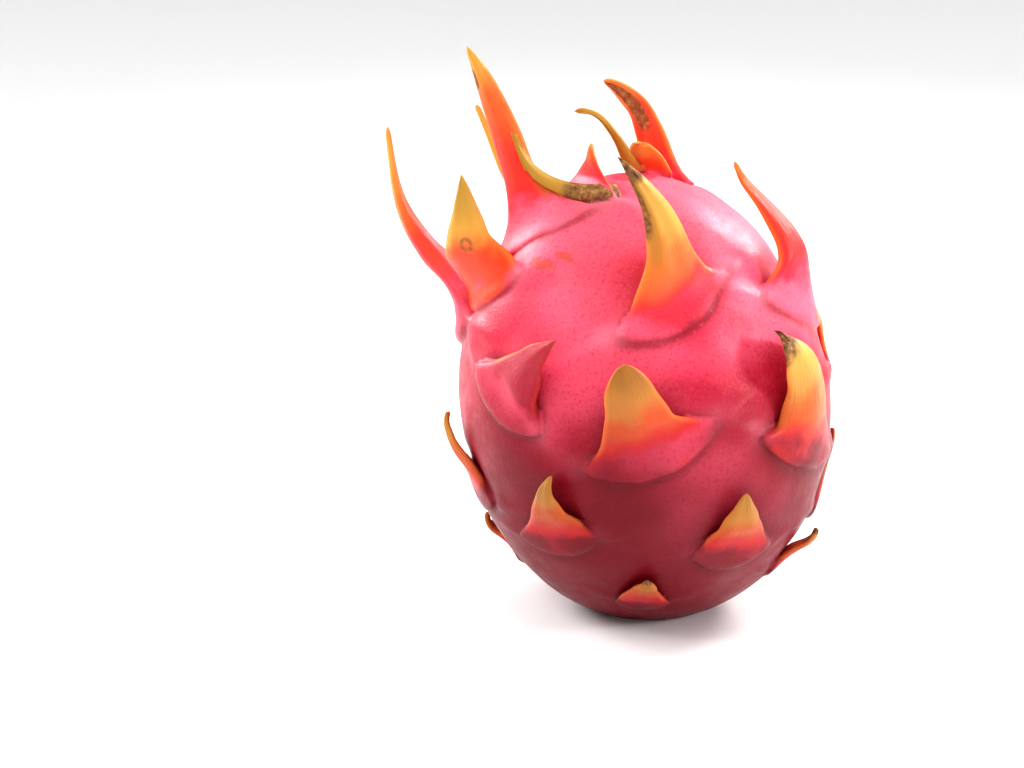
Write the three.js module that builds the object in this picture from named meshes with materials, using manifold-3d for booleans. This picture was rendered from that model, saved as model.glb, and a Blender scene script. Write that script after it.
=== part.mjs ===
// Dragon fruit, one solid: an egg-shaped body with a small flat resting spot, a shallow navel at the
// crown and leaf-like scales that grow out of the skin. Millimetres, +Z up along the fruit, origin at
// the centre of the resting spot, -Y is the front.
import * as THREE from "three";
import { mergeVertices } from "three/addons/utils/BufferGeometryUtils.js";
import Module from "manifold-3d";

const wasm = await Module();
wasm.setup();

// ---------------------------------------------------------------- driving sizes, mm and degrees
const BODY_WIDTH = 92; // left to right at the widest ring
const BODY_DEPTH = 90; // front to back at the widest ring
const BODY_HEIGHT = 110; // resting spot to crown, without the scales
const WIDEST_AT = 0.5; // height of the widest ring, share of the body height
const TOP_LEAN = -5; // how far the crown stands to the side of the spot
const SHOULDER = 1.75; // roundness above the widest ring, higher is squarer
const BELLY = 2.2; // roundness below the widest ring
const SPOT_RADIUS = 15; // flat spot the fruit rests on
const NAVEL_RADIUS = 5.5; // shallow pit at the crown
const NAVEL_DEPTH = 3.5;

const ROOT_THICKNESS = 4.5; // a scale where it leaves the skin
const RIM_THICKNESS = 1.2; // a scale near its tip
const FLESHY_ROOT = 6; // a large scale where it leaves the skin
const HEAVY_ROOT = 10; // the thickest root, on the left shoulder
const SCALE_SINK = 0.4; // how deep the middle of a scale's root sits in the skin
const SCALE_PROUD = 1; // how high the wing tips stand over the skin
const SKIN_RADIUS = 44; // bend of a scale's root across its width
const FLARE_RUN = 12; // length over which a scale's root turns into its blade
const LENGTH_FACTOR = 1; // stretches every scale along its midline
const WIDTH_FACTOR = 1; // widens every scale

const BODY_SIDES = 44; // facets round the body
const BODY_RINGS = 26; // facets from spot to crown
const CHIN_SHARE = 0.25; // share of a scale's rows below its wing tips

// One scale: turn is where it sits round the body, in degrees from the front, + to the right; high is
// its height as a share of the body; way holds three points its midline passes, at a third, at two
// thirds and at the tip, each as mm outward, to the right and up from the root. wide is wing tip to
// wing tip, blade the width above the flare, chin the rounded part below the wing tips.
const PLAIN = {
  wide: 26,
  blade: 12,
  chin: 6,
  fade: 5, // length over which the wings run into the blade
  tilt: 0, // turn of the root in the plane of the skin
  roll: 0, // twist of the blade by its tip
  cup: 60, // bend across the blade
  thick: ROOT_THICKNESS,
  hug: 9, // length over which the root follows the skin
  shape: [1.3, 0.9], // how the blade narrows: long point 1.3, 0.9; blunt end 3.5, 0.5
  around: 10, // facets round its section
  along: 12, // facets along it
};
const BLUNT = [3.5, 0.5];
const ROUNDED = [2.2, 0.7];
const SMALL = { wide: 20, blade: 10, chin: 5, fade: 4, around: 8, along: 8 };

const SCALES = [
  // round the shoulder, long
  { turn: 10, high: 0.78, wide: 36, blade: 15, chin: 8, thick: FLESHY_ROOT, tilt: 26, along: 16,
    way: [[2, -1, 12], [5, -6, 24], [6, -15, 36]] },
  { turn: 70, high: 0.73, wide: 38, blade: 13, thick: FLESHY_ROOT, tilt: -25, roll: -15, cup: 100, along: 16,
    way: [[-1, -1, 16], [-9, -2, 26], [-15, -4, 35]] },
  { turn: -76, high: 0.76, wide: 32, blade: 17, thick: FLESHY_ROOT, tilt: 28, roll: 60,
    way: [[6, 3, 11], [7, 3, 19], [8, 3, 29]] },
  { turn: -102, high: 0.69, wide: 34, blade: 8, chin: 11, thick: HEAVY_ROOT, along: 16,
    way: [[14, 2, 16], [20, 2, 28], [23, 0, 44]] },
  // round the waist
  { turn: -1, high: 0.48, wide: 38, blade: 15, chin: 8, thick: FLESHY_ROOT, tilt: 19, cup: 50,
    shape: [3, 0.6], way: [[4, -3, 6], [7, -5, 14], [8, -7, 22]] },
  { turn: 54, high: 0.44, wide: 38, blade: 15, thick: FLESHY_ROOT, tilt: -18, cup: 80, shape: BLUNT,
    way: [[3, -3, 12], [4, -8, 23], [-1, -14, 31]] },
  { turn: -50, high: 0.55, wide: 30, blade: 16, thick: FLESHY_ROOT, tilt: -30,
    way: [[2, 8, 7], [4, 15, 13], [6, 26, 20]] },
  { turn: 104, high: 0.56, wide: 28, shape: ROUNDED,
    way: [[0, 0, 7], [-1, 0, 12], [-3, 0, 17]] },
  { turn: 152, high: 0.65, wide: 30,
    way: [[3, 0, 8], [6, 2, 16], [7, 6, 22]] },
  { turn: -148, high: 0.6, wide: 28, blade: 11,
    way: [[4, 0, 8], [8, -2, 16], [9, -5, 24]] },
  // round the crown
  { turn: -65, high: 0.9, wide: 36, blade: 9, tilt: 45, roll: 12, cup: 110, along: 18,
    shape: [3.2, 0.8], way: [[3, -8, 14], [7, -11, 28], [13, -14, 43]] },
  { turn: -97, high: 0.91, wide: 8, blade: 3.5, chin: 3, fade: 3, thick: 2.5, around: 8, along: 14,
    way: [[7, -1, 8], [11, -2, 17], [15, -3, 26]] },
  { turn: -28, high: 0.973, wide: 7, blade: 4.5, chin: 3, fade: 4, tilt: 75, cup: 90,
    thick: 5, hug: 2, shape: [1.6, 0.8], around: 8, along: 14,
    way: [[3.5, -11, 1.5], [4, -19, 6], [4.5, -23.5, 14]] },
  { turn: -60, high: 0.98, wide: 26, blade: 7, chin: 4, fade: 5, hug: 5, around: 8, along: 10,
    way: [[0, 0, 4], [0, 0, 7], [0, 0, 11]] },
  { turn: 170, high: 0.993, wide: 5, blade: 3.2, chin: 2, fade: 3, thick: 2.4, hug: 3, around: 8, along: 14,
    way: [[-2.5, 3.5, 7], [-5.5, 8, 14], [-7.5, 14.5, 16]] },
  { turn: 150, high: 0.96, wide: 18, blade: 7, shape: [5, 0.5], along: 16,
    way: [[0, 4, 12], [0, 9, 20], [-3, 16, 25]] },
  { turn: 150, high: 0.99, wide: 14, blade: 10, chin: 4, fade: 3, thick: FLESHY_ROOT, hug: 4, shape: ROUNDED,
    around: 8, along: 8, way: [[-1, 0, 4], [-2, 1, 7], [-3, 1, 8]] },
  { turn: -165, high: 0.8, blade: 10,
    way: [[2, 0, 6], [4, 1, 12], [5, 2, 18]] },
  // below the waist
  { turn: 88, high: 0.26, way: [[2, 0, 7], [4, 0, 13], [4, -1, 18]] },
  { turn: 172, high: 0.38, wide: 28, way: [[4, -1, 8], [8, -4, 15], [9, -8, 22]] },
  { turn: -122, high: 0.38, way: [[3, 1, 7], [6, 2, 13], [6, 3, 18]] },
  { turn: -78, high: 0.3, tilt: -8, way: [[4, -1, 7], [7, -3, 13], [7, -3, 19]] },
  { turn: -34, high: 0.25, tilt: 8, way: [[5, 1, 6], [9, 2, 12], [9, 4, 18]] },
  { turn: 28, high: 0.22, wide: 24, shape: ROUNDED, way: [[5, -1, 6], [8, -2, 11], [9, -2, 17]] },
  // round the stem end, small
  { ...SMALL, turn: 70, high: 0.13, wide: 16, blade: 9, shape: ROUNDED,
    way: [[4, 0, 3], [8, 0, 6], [10, -1, 10]] },
  { ...SMALL, turn: 132, high: 0.16, way: [[4, 0, 4], [8, 1, 8], [10, 1, 13]] },
  { ...SMALL, turn: -150, high: 0.15, way: [[4, 0, 4], [8, -1, 8], [10, -1, 13]] },
  { ...SMALL, turn: -100, high: 0.11, wide: 15, blade: 8, way: [[4, 0, 3], [8, 1, 6], [9, 1, 10]] },
  { ...SMALL, turn: -5, high: 0.09, wide: 14, blade: 8, shape: ROUNDED,
    way: [[4, 0, 2], [7, 1, 5], [9, 1, 8]] },
];

// ---------------------------------------------------------------- the skin as a surface
const rad = THREE.MathUtils.degToRad;
const smooth = (x) => THREE.MathUtils.smoothstep(x, 0, 1);
const vec = (x, y, z) => new THREE.Vector3(x, y, z);
const EQUATOR = BODY_HEIGHT * WIDEST_AT;

// Radius at a height, as a share of the widest: a round shoulder above, down to the flat spot below.
function profile(z) {
  const up = Math.min(Math.max((z - EQUATOR) / (BODY_HEIGHT - EQUATOR), 0), 1);
  const down = Math.min(Math.max((EQUATOR - z) / EQUATOR, 0), 1);
  const spot = SPOT_RADIUS / (BODY_WIDTH / 2);
  return Math.sqrt(z >= EQUATOR ? 1 - up ** SHOULDER : 1 - (1 - spot ** 2) * down ** BELLY);
}

const lean = (z) => TOP_LEAN * (z / BODY_HEIGHT) ** 2;

function skin(turn, z) {
  const share = profile(z);
  return vec(
    lean(z) + (BODY_WIDTH / 2) * share * Math.sin(turn),
    (-BODY_DEPTH / 2) * share * Math.cos(turn),
    z,
  );
}

// Height of a point over the skin, near enough for a few millimetres either way.
function overSkin(p) {
  const step = 0.4, margin = 0.5;
  const z = Math.min(Math.max(p.z, margin), BODY_HEIGHT - margin);
  const share = Math.hypot((p.x - lean(z)) / (BODY_WIDTH / 2), p.y / (BODY_DEPTH / 2));
  const slope = ((profile(z + step) - profile(z - step)) / (2 * step)) * (BODY_WIDTH / 2);
  return ((share - profile(z)) * (BODY_WIDTH / 2)) / Math.hypot(1, slope);
}

// ---------------------------------------------------------------- manifold-3d joins
function solidOf(geometry) {
  geometry.deleteAttribute("normal");
  geometry.deleteAttribute("uv");
  const merged = mergeVertices(geometry, 1e-4);
  return new wasm.Manifold(
    new wasm.Mesh({
      numProp: 3,
      vertProperties: merged.attributes.position.array,
      triVerts: new Uint32Array(merged.index.array),
    }),
  );
}

// ---------------------------------------------------------------- the body
// A turned profile, crown to spot, then pressed to its depth and leant to one side.
function makeBody() {
  const points = [new THREE.Vector2(0, 0)];
  for (let i = 0; i <= BODY_RINGS; i++) {
    const angle = (Math.PI * i) / BODY_RINGS;
    const z = i < BODY_RINGS ? EQUATOR - (angle < Math.PI / 2 ? EQUATOR : BODY_HEIGHT - EQUATOR) *
      Math.cos(angle) : BODY_HEIGHT;
    const r = (BODY_WIDTH / 2) * profile(z);
    if (r > NAVEL_RADIUS * 1.2) points.push(new THREE.Vector2(r, z));
  }
  const rimAt = BODY_HEIGHT - 0.6;
  points.push(new THREE.Vector2(NAVEL_RADIUS, rimAt));
  points.push(new THREE.Vector2(NAVEL_RADIUS * 0.7, rimAt - NAVEL_DEPTH * 0.5));
  points.push(new THREE.Vector2(NAVEL_RADIUS * 0.5, rimAt - NAVEL_DEPTH));
  points.push(new THREE.Vector2(0, rimAt - NAVEL_DEPTH));
  const body = new THREE.LatheGeometry(points, BODY_SIDES);
  body.rotateX(Math.PI / 2);
  const at = body.attributes.position;
  for (let i = 0; i < at.count; i++) {
    const z = at.getZ(i);
    at.setXYZ(i, at.getX(i) + lean(z), at.getY(i) * (BODY_DEPTH / BODY_WIDTH), z);
  }
  return solidOf(body);
}

// ---------------------------------------------------------------- one scale
// A sphere whose rows are laid along the midline and whose columns go round a flattened section.
function makeScale(spec) {
  const s = { ...PLAIN, ...spec };
  const turn = rad(s.turn), z = s.high * BODY_HEIGHT, step = 0.01;
  const root = skin(turn, z);
  const outward = vec(Math.sin(turn), -Math.cos(turn), 0);
  const right = vec(Math.cos(turn), Math.sin(turn), 0);
  const up = skin(turn, Math.min(z + 1, BODY_HEIGHT - 0.5)).sub(skin(turn, z - 1)).normalize();
  const normal = skin(turn + step, z).sub(skin(turn - step, z)).cross(up).normalize();
  const side = up.clone().cross(normal);
  const tilt = rad(s.tilt);
  const across = side.clone().multiplyScalar(Math.cos(tilt)).addScaledVector(up, Math.sin(tilt));
  const along = up.clone().multiplyScalar(Math.cos(tilt)).addScaledVector(side, -Math.sin(tilt));

  // the midline: a cubic through the root and the three way points
  const [a, b, c] = s.way.map(([o, r, u]) =>
    root.clone().addScaledVector(outward, o * LENGTH_FACTOR).addScaledVector(right, r * LENGTH_FACTOR)
      .add(vec(0, 0, u * LENGTH_FACTOR)));
  const length = a.distanceTo(root) + b.distanceTo(a) + c.distanceTo(b);
  const mix = (k0, k1, k2, k3) => vec(0, 0, 0).addScaledVector(root, k0).addScaledVector(a, k1)
    .addScaledVector(b, k2).addScaledVector(c, k3).multiplyScalar(1 / 6);
  const midline = new THREE.CubicBezierCurve3(root, mix(-5, 18, -9, 2), mix(2, -9, 18, -5), c);

  const geometry = new THREE.SphereGeometry(1, s.around, s.along);
  const at = geometry.attributes.position, uv = geometry.attributes.uv;
  const point = vec(0, 0, 0);
  for (let i = 0; i < at.count; i++) {
    const row = 1 - uv.getY(i), angle = 2 * Math.PI * uv.getX(i);
    const below = row < CHIN_SHARE;
    const r = below ? row / CHIN_SHARE : 1;
    const t = below ? 0 : 1 - (1 - (row - CHIN_SHARE) / (1 - CHIN_SHARE)) ** 1.25;
    const past = t * length; // distance past the wing tips

    // the midline point and the frame there: across the blade, out of it, along it
    const centre = below ? root.clone().addScaledVector(along, -s.chin * (1 - r * r))
      : midline.getPoint(t);
    const ahead = below ? along : midline.getTangent(t);
    const turned = smooth(past / FLARE_RUN);
    const wide = across.clone().addScaledVector(ahead, -across.dot(ahead)).normalize();
    const face = wide.clone().cross(ahead);
    wide.lerpVectors(across, wide, turned).normalize();
    face.lerpVectors(normal, face, turned).normalize();
    const twist = rad(s.roll) * t ** 0.7;
    const flat = wide.clone().multiplyScalar(Math.cos(twist)).addScaledVector(face, -Math.sin(twist));
    face.multiplyScalar(Math.cos(twist)).addScaledVector(wide, Math.sin(twist));

    // half width, bend across and thickness at this row
    const span = (s.wide * WIDTH_FACTOR) / 2, blade = (s.blade * WIDTH_FACTOR) / 2;
    const narrow = Math.max(1 - t ** s.shape[0], 0) ** s.shape[1];
    const half = below ? span * r
      : blade * narrow + (span - blade) * Math.exp(-past / s.fade) * (1 - t);
    const cupping = smooth(past / 14);
    const bend = (1 - cupping) / SKIN_RADIUS + (cupping * rad(s.cup)) / Math.max(2 * half, 2);
    const done = (r * r * s.chin + past) / (s.chin + length);
    const body = RIM_THICKNESS + (s.thick - RIM_THICKNESS) * (1 - done) ** 1.6;
    const thickness = body * Math.sqrt(1 - (1 - r) ** 2) * Math.sqrt(Math.min((1 - t) / 0.03, 1));

    // round the section, with sharp edges and a flat middle
    const cos = Math.cos(angle), sin = Math.sin(angle);
    const q = Math.sign(cos) * Math.abs(cos) ** 0.9;
    const y = half * q * bend;
    const off = (thickness / 2) * Math.sign(sin) * Math.abs(sin) ** 0.75;
    point.copy(centre).addScaledVector(flat, Math.sin(y) / bend)
      .addScaledVector(face, -(1 - Math.cos(y)) / bend);
    const held = smooth(1 - Math.min(past / s.hug, 1));
    const wanted = (SCALE_PROUD + SCALE_SINK) * ((q * half) / span) ** 2 - SCALE_SINK;
    point.addScaledVector(face, held * (wanted - overSkin(point)));
    point.addScaledVector(flat, off * Math.sin(y)).addScaledVector(face, off * Math.cos(y));
    at.setXYZ(i, point.x, point.y, point.z);
  }
  return solidOf(geometry);
}

// ---------------------------------------------------------------- one solid
let fruit = makeBody();
for (const spec of SCALES) fruit = fruit.add(makeScale(spec));

const mesh = fruit.getMesh();
const geometry = new THREE.BufferGeometry()
  .setAttribute("position", new THREE.BufferAttribute(new Float32Array(mesh.vertProperties), 3))
  .setIndex(new THREE.BufferAttribute(new Uint32Array(mesh.triVerts), 1));
geometry.computeVertexNormals();

const dragonFruit = new THREE.Mesh(
  geometry,
  new THREE.MeshStandardMaterial({ color: 0xd8305f, roughness: 0.5, flatShading: true }),
);
dragonFruit.name = "dragon_fruit";

const part = new THREE.Group();
part.name = "dragon_fruit_part";
part.add(dragonFruit);
export default part;
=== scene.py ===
# %% [markdown]
# # A dragon fruit
#
# The object is one grown thing: an egg-shaped body with a thin glossy skin, and leaf-like scales that
# are part of that skin and stand up and outward, longest round the crown.
#
# It could be sculpted, or modelled face by face. Here every surface is a formula worked out with numpy
# on a grid, because a fruit is smooth and its scales are all one shape with other sizes. The body and
# the scales are then joined to one skin, the joints are rounded, and the colours are laid on by where a
# point is on its scale.
#
# Sizes are in millimetres in the formulas and turn into metres when a mesh is made. +Z is up along the
# fruit, the front is -Y, and the fruit rests on z = 0.

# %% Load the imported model
import bpy
import numpy as np
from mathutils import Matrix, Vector


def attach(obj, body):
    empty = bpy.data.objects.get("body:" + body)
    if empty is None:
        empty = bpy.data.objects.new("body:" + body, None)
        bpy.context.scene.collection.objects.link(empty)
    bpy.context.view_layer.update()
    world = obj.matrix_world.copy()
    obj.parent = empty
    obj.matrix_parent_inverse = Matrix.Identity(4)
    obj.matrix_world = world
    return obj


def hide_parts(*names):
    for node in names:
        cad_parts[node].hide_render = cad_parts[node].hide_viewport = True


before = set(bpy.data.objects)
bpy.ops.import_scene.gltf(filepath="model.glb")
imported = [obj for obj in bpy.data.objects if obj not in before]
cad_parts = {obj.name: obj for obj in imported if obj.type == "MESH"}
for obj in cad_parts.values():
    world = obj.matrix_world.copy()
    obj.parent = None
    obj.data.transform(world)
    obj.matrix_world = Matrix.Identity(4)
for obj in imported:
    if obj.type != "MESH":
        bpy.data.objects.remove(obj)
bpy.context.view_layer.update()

# %% [markdown]
# ## The body as a surface
#
# A dragon fruit is nearly an egg: widest in the middle, squarer at the shoulder, with a small flat
# place at the stem end that it stands on and a shallow pit at the crown where the flower was.
#
# A sphere could be scaled to it, but then the shoulder and the flat place are hard to place. A turned
# profile keeps every size in one readable value, so the skin is written as a point for each turn round
# the body and each height.

# %% Sizes of the body, and its skin
BODY_WIDTH, BODY_DEPTH, BODY_HEIGHT = 92.0, 90.0, 110.0
EQUATOR = 55.0          # height of the widest ring
TOP_LEAN = -5.0         # the crown stands a little to the left of the stem
SHOULDER, BELLY = 1.75, 2.2    # powers of the profile above and below the widest ring: more is squarer
SPOT_RADIUS = 15.0      # flat place at the stem end
NAVEL_RADIUS, NAVEL_DEPTH = 5.5, 3.5
END_GAP = 0.5           # the profile is too steep to measure closer than this to either end
SLOPE_STEP = 0.4        # half the height over which its slope is measured


def smooth(x):
    """An S-shaped step: 0 below 0, 1 above 1, three x squared minus two x cubed between."""
    x = np.clip(x, 0, 1)
    return x * x * (3 - 2 * x)


def profile(z):
    """Radius at height z as a share of the widest: the root of one minus a power of the height."""
    up = np.clip((z - EQUATOR) / (BODY_HEIGHT - EQUATOR), 0, 1)
    down = np.clip((EQUATOR - z) / EQUATOR, 0, 1)
    spot = 1 - (SPOT_RADIUS / (BODY_WIDTH / 2)) ** 2
    return np.sqrt(np.clip(np.where(z >= EQUATOR, 1 - up ** SHOULDER, 1 - spot * down ** BELLY), 0, 1))


def lean(z):
    """Sideways drift of the axis: the square of the height, so the foot stays upright."""
    return TOP_LEAN * (np.clip(z, 0, BODY_HEIGHT) / BODY_HEIGHT) ** 2


def skin(turn, z):
    """Point of the skin: the profile turned round the leaning axis. Turn 0 is the front."""
    share = profile(z)
    return np.stack([lean(z) + BODY_WIDTH / 2 * share * np.sin(turn),
                     -BODY_DEPTH / 2 * share * np.cos(turn), z + 0 * share * turn], -1)


def over_skin(p):
    """Height of points over the skin: how far out they are, divided by the slope of the profile."""
    z = np.clip(p[..., 2], END_GAP, BODY_HEIGHT - END_GAP)
    share = np.hypot((p[..., 0] - lean(z)) / (BODY_WIDTH / 2), p[..., 1] / (BODY_DEPTH / 2))
    slope = (profile(z + SLOPE_STEP) - profile(z - SLOPE_STEP)) / (2 * SLOPE_STEP) * BODY_WIDTH / 2
    return (share - profile(z)) * BODY_WIDTH / 2 / np.hypot(1, slope)


print("widest ring %.0f mm across, flat place %.0f mm" % (BODY_WIDTH, 2 * SPOT_RADIUS))

# %% [markdown]
# ## Where each scale grows, and how
#
# Each scale is a leaf that never left the fruit. Its root is a wide crescent with two pointed wings, and
# it narrows fast to a long tongue that bends away from the skin.
#
# One shape serves for all: turn (degrees round from the front) and high (a share of the body's height)
# say where it sits, and way gives three points its midline passes (mm outward, to the right and up from
# the root). wide is the root from wing to wing, blade the tongue above it, chin and fade how far the
# root reaches down and up, and shape how the tongue narrows. tilt, roll and cup turn, twist and hollow
# it, in degrees, and hug is how long it stays on the skin.
#
# The rest is finish: dry is how far the brown has crept down from the tip, ripe how far the pink has
# climbed up, green and ember how olive and how fiery it is between, deep_and_shade how crimson it is,
# partly its own colour and partly painted shade where the scale stands in shadow, rims how orange its
# left and right rims are, worn how torn the end is, and ridge how high the fold along it stands.

# %% The table of scales
PLAIN = dict(wide=26, blade=12, chin=6, fade=5, tilt=0, roll=0, cup=60, thick=4.5, hug=9,
             shape=(1.3, 0.9), rows=56, cols=36, dry=-0.06, ripe=0.46, ridge=0, green=0.3, worn=0,
             ember=0.1, deep_and_shade=0, rims=(1, 1))
BLUNT, ROUNDED = (3.5, 0.5), (2.2, 0.7)
SMALL = dict(wide=20, blade=10, chin=5, fade=4, rows=34, cols=26, ripe=0.6, dry=0.05)

SCALES = {
    # round the shoulder, long
    "front_long": dict(turn=10, high=0.78, wide=36, blade=15, chin=8, thick=6.5, tilt=26, dry=0.13,
                       ripe=0.36, ridge=1.5, green=0.35, way=((2, -1, 12), (5, -6, 24), (6, -15, 36))),
    "right_long": dict(turn=70, high=0.73, wide=38, thick=5.5, blade=13, tilt=-25, roll=-15, cup=100,
                       ember=0.6, ripe=0.85, green=0.0, way=((-1, -1, 16), (-9, -2, 26), (-15, -4, 35))),
    "left_front": dict(turn=-76, high=0.76, wide=32, thick=6, blade=17, tilt=28, roll=60, ripe=0.20,
                       green=0.5, ember=1.0, way=((6, 3, 11), (7, 3, 19), (8, 3, 29))),
    "left_thin": dict(turn=-102, high=0.69, wide=34, blade=8, chin=11, thick=10, ripe=0.60, green=0.5,
                      rims=(0.3, 0.3), way=((14, 2, 16), (20, 2, 28), (23, 0, 44))),
    # round the waist
    "front_low": dict(turn=-1, high=0.48, wide=38, thick=6, blade=15, chin=8, tilt=19, cup=50,
                      shape=(3.0, 0.6), ripe=0.40, green=1.0, deep_and_shade=0.30, ember=0.3,
                      way=((4, -3, 6), (7, -5, 14), (8, -7, 22))),
    "right_low": dict(turn=54, high=0.44, wide=38, thick=6, blade=15, tilt=-18, cup=80, shape=BLUNT,
                      ripe=0.36, green=0.10, dry=0.15, worn=1.5,
                      way=((3, -3, 12), (4, -8, 23), (-1, -14, 31))),
    "left_low": dict(turn=-50, high=0.55, wide=30, thick=6, blade=16, tilt=-30, ripe=1.2, green=0.1,
                     deep_and_shade=0.8, rims=(2, 0.2), way=((2, 8, 7), (4, 15, 13), (6, 26, 20))),
    "right_back": dict(turn=104, high=0.56, wide=28, shape=ROUNDED,
                       way=((0, 0, 7), (-1, 0, 12), (-3, 0, 17))),
    "back_mid": dict(turn=152, high=0.65, wide=30, way=((3, 0, 8), (6, 2, 16), (7, 6, 22))),
    "back_left": dict(turn=-148, high=0.60, wide=28, blade=11, way=((4, 0, 8), (8, -2, 16), (9, -5, 24))),
    # round the crown
    "tall": dict(turn=-65, high=0.90, wide=36, blade=9, tilt=45, roll=12, cup=110, shape=(3.2, 0.8), rows=72,
                 ripe=0.70, green=0.7, ember=0.5, rims=(0.4, 0),
                 way=((3, -8, 14), (7, -11, 28), (13, -14, 43))),
    "tall_rim": dict(turn=-97, high=0.91, wide=8, blade=3.5, chin=3, fade=3, thick=2.5, rows=50, cols=20,
                     ripe=0.12, green=0.3, rims=(0, 0), way=((7, -1, 8), (11, -2, 17), (15, -3, 26))),
    "rolled": dict(turn=-28, high=0.973, wide=7, blade=4.5, chin=3, fade=4, tilt=75, cup=90,
                   thick=5, hug=2, shape=(1.6, 0.8), rows=70, cols=28, ripe=-0.4, green=0.8, rims=(0, 0),
                   way=((3.5, -11, 1.5), (4, -19, 6), (4.5, -23.5, 14))),
    "crest": dict(turn=-60, high=0.98, wide=26, blade=7, chin=4, fade=5, hug=5, rows=36, cols=28,
                  ripe=0.8, green=0.0, ember=0.4, way=((0, 0, 4), (0, 0, 7), (0, 0, 11))),
    "wisp": dict(turn=170, high=0.993, wide=5, blade=3.2, chin=2, fade=3, thick=2.4, hug=3, rows=56, cols=20,
                 ripe=-0.25, green=0.9, rims=(0, 0), way=((-2.5, 3.5, 7), (-5.5, 8, 14), (-7.5, 14.5, 16))),
    "back_long": dict(turn=150, high=0.96, wide=18, blade=7, shape=(5, 0.5), ripe=0.50, green=0.0,
                      dry=0.03, ember=0.9, way=((0, 4, 12), (0, 9, 20), (-3, 16, 25))),
    "knob": dict(turn=150, high=0.99, wide=14, blade=10, chin=4, fade=3, thick=6, hug=4, shape=ROUNDED,
                 rows=30, cols=28, ripe=0.4, green=0.0, ember=0.6, way=((-1, 0, 4), (-2, 1, 7), (-3, 1, 8))),
    "back_high": dict(turn=-165, high=0.80, wide=26, blade=10, way=((2, 0, 6), (4, 1, 12), (5, 2, 18))),
    # below the waist
    "right_base": dict(turn=88, high=0.26, way=((2, 0, 7), (4, 0, 13), (4, -1, 18))),
    "back_base": dict(turn=172, high=0.38, wide=28, way=((4, -1, 8), (8, -4, 15), (9, -8, 22))),
    "left_back": dict(turn=-122, high=0.38, way=((3, 1, 7), (6, 2, 13), (6, 3, 18))),
    "left_base": dict(turn=-78, high=0.30, tilt=-8, way=((4, -1, 7), (7, -3, 13), (7, -3, 19))),
    "front_base": dict(turn=-34, high=0.25, tilt=8, way=((5, 1, 6), (9, 2, 12), (9, 4, 18))),
    "right_foot": dict(turn=28, high=0.22, wide=24, shape=ROUNDED,
                       way=((5, -1, 6), (8, -2, 11), (9, -2, 17))),
    # round the stem end, small
    "right_under": dict(SMALL, turn=70, high=0.13, wide=16, blade=9, shape=ROUNDED,
                        way=((4, 0, 3), (8, 0, 6), (10, -1, 10))),
    "back_under": dict(SMALL, turn=132, high=0.16, way=((4, 0, 4), (8, 1, 8), (10, 1, 13))),
    "back_foot": dict(SMALL, turn=-150, high=0.15, way=((4, 0, 4), (8, -1, 8), (10, -1, 13))),
    "left_foot": dict(SMALL, turn=-100, high=0.11, wide=15, blade=8, way=((4, 0, 3), (8, 1, 6), (9, 1, 10))),
    "front_foot": dict(SMALL, turn=-5, high=0.09, wide=14, blade=8, shape=ROUNDED,
                       way=((4, 0, 2), (7, 1, 5), (9, 1, 8))),
}
SCALES = {name: {**PLAIN, **spec} for name, spec in SCALES.items()}
print(len(SCALES), "scales")

# %% [markdown]
# ## The frame of a root
#
# Every scale needs three directions at its root: across the root from wing to wing, along it towards
# the tip, and out of the skin. They could be typed in as angles, but then a change of the body would
# leave the scales behind. Taking them from the skin's own slopes keeps each root lying on the skin.

# %% Directions at a root
RIM_THIN = 1.2          # a scale where it is thinnest, mm
SINK, PROUD = 0.4, 1.0  # middle of a root below the skin and its wings above it, mm


def unit(v):
    """Each row divided by its length."""
    return v / np.maximum(np.linalg.norm(v, axis=-1, keepdims=True), 1e-12)


def root_frame(spec):
    """Root point, outward, right, and the across, along and normal directions of a scale's root."""
    turn, z = np.radians(spec["turn"]), spec["high"] * BODY_HEIGHT
    root = skin(turn, z)
    up = unit(skin(turn, min(z + 1, BODY_HEIGHT - END_GAP)) - skin(turn, z - 1))
    normal = unit(np.cross(skin(turn + 0.01, z) - skin(turn - 0.01, z), up))
    side = np.cross(up, normal)
    tilt = np.radians(spec["tilt"])
    across = side * np.cos(tilt) + up * np.sin(tilt)
    along = up * np.cos(tilt) - side * np.sin(tilt)
    outward = np.array([np.sin(turn), -np.cos(turn), 0.0])
    right = np.array([np.cos(turn), np.sin(turn), 0.0])
    return root, outward, right, across, along, normal


print("front root at", np.round(root_frame(SCALES["front_long"])[0], 1))

# %% [markdown]
# ## The surface of a scale
#
# A scale could be a leaf shape with a Solidify modifier, but its thickness changes from a fleshy root
# to a papery tip, and its root has to melt into the skin. So it is a closed surface of its own: a
# flattened ring is carried along a curved midline, and the ring's width, bend and thickness change on
# the way. The first quarter of the rings makes the rounded chin below the wings.
#
# Small waves in the rim, a few lengthwise folds and, on some, a ridge and a torn end keep it from
# looking machined.

# %% Midline and widths
CHIN_SHARE = 0.25       # share of the rows that makes the chin
TIP_CROWDING = 1.25     # power that brings the rows closer at the tip


def stations(rows):
    """Rows along a scale: r climbs the chin, then t runs the midline with rows closer at the tip."""
    row = np.linspace(0, 1, rows + 1)
    r = np.clip(row / CHIN_SHARE, 0, 1)
    t = 1 - (1 - np.clip((row - CHIN_SHARE) / (1 - CHIN_SHARE), 0, 1)) ** TIP_CROWDING
    return r, t


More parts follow.
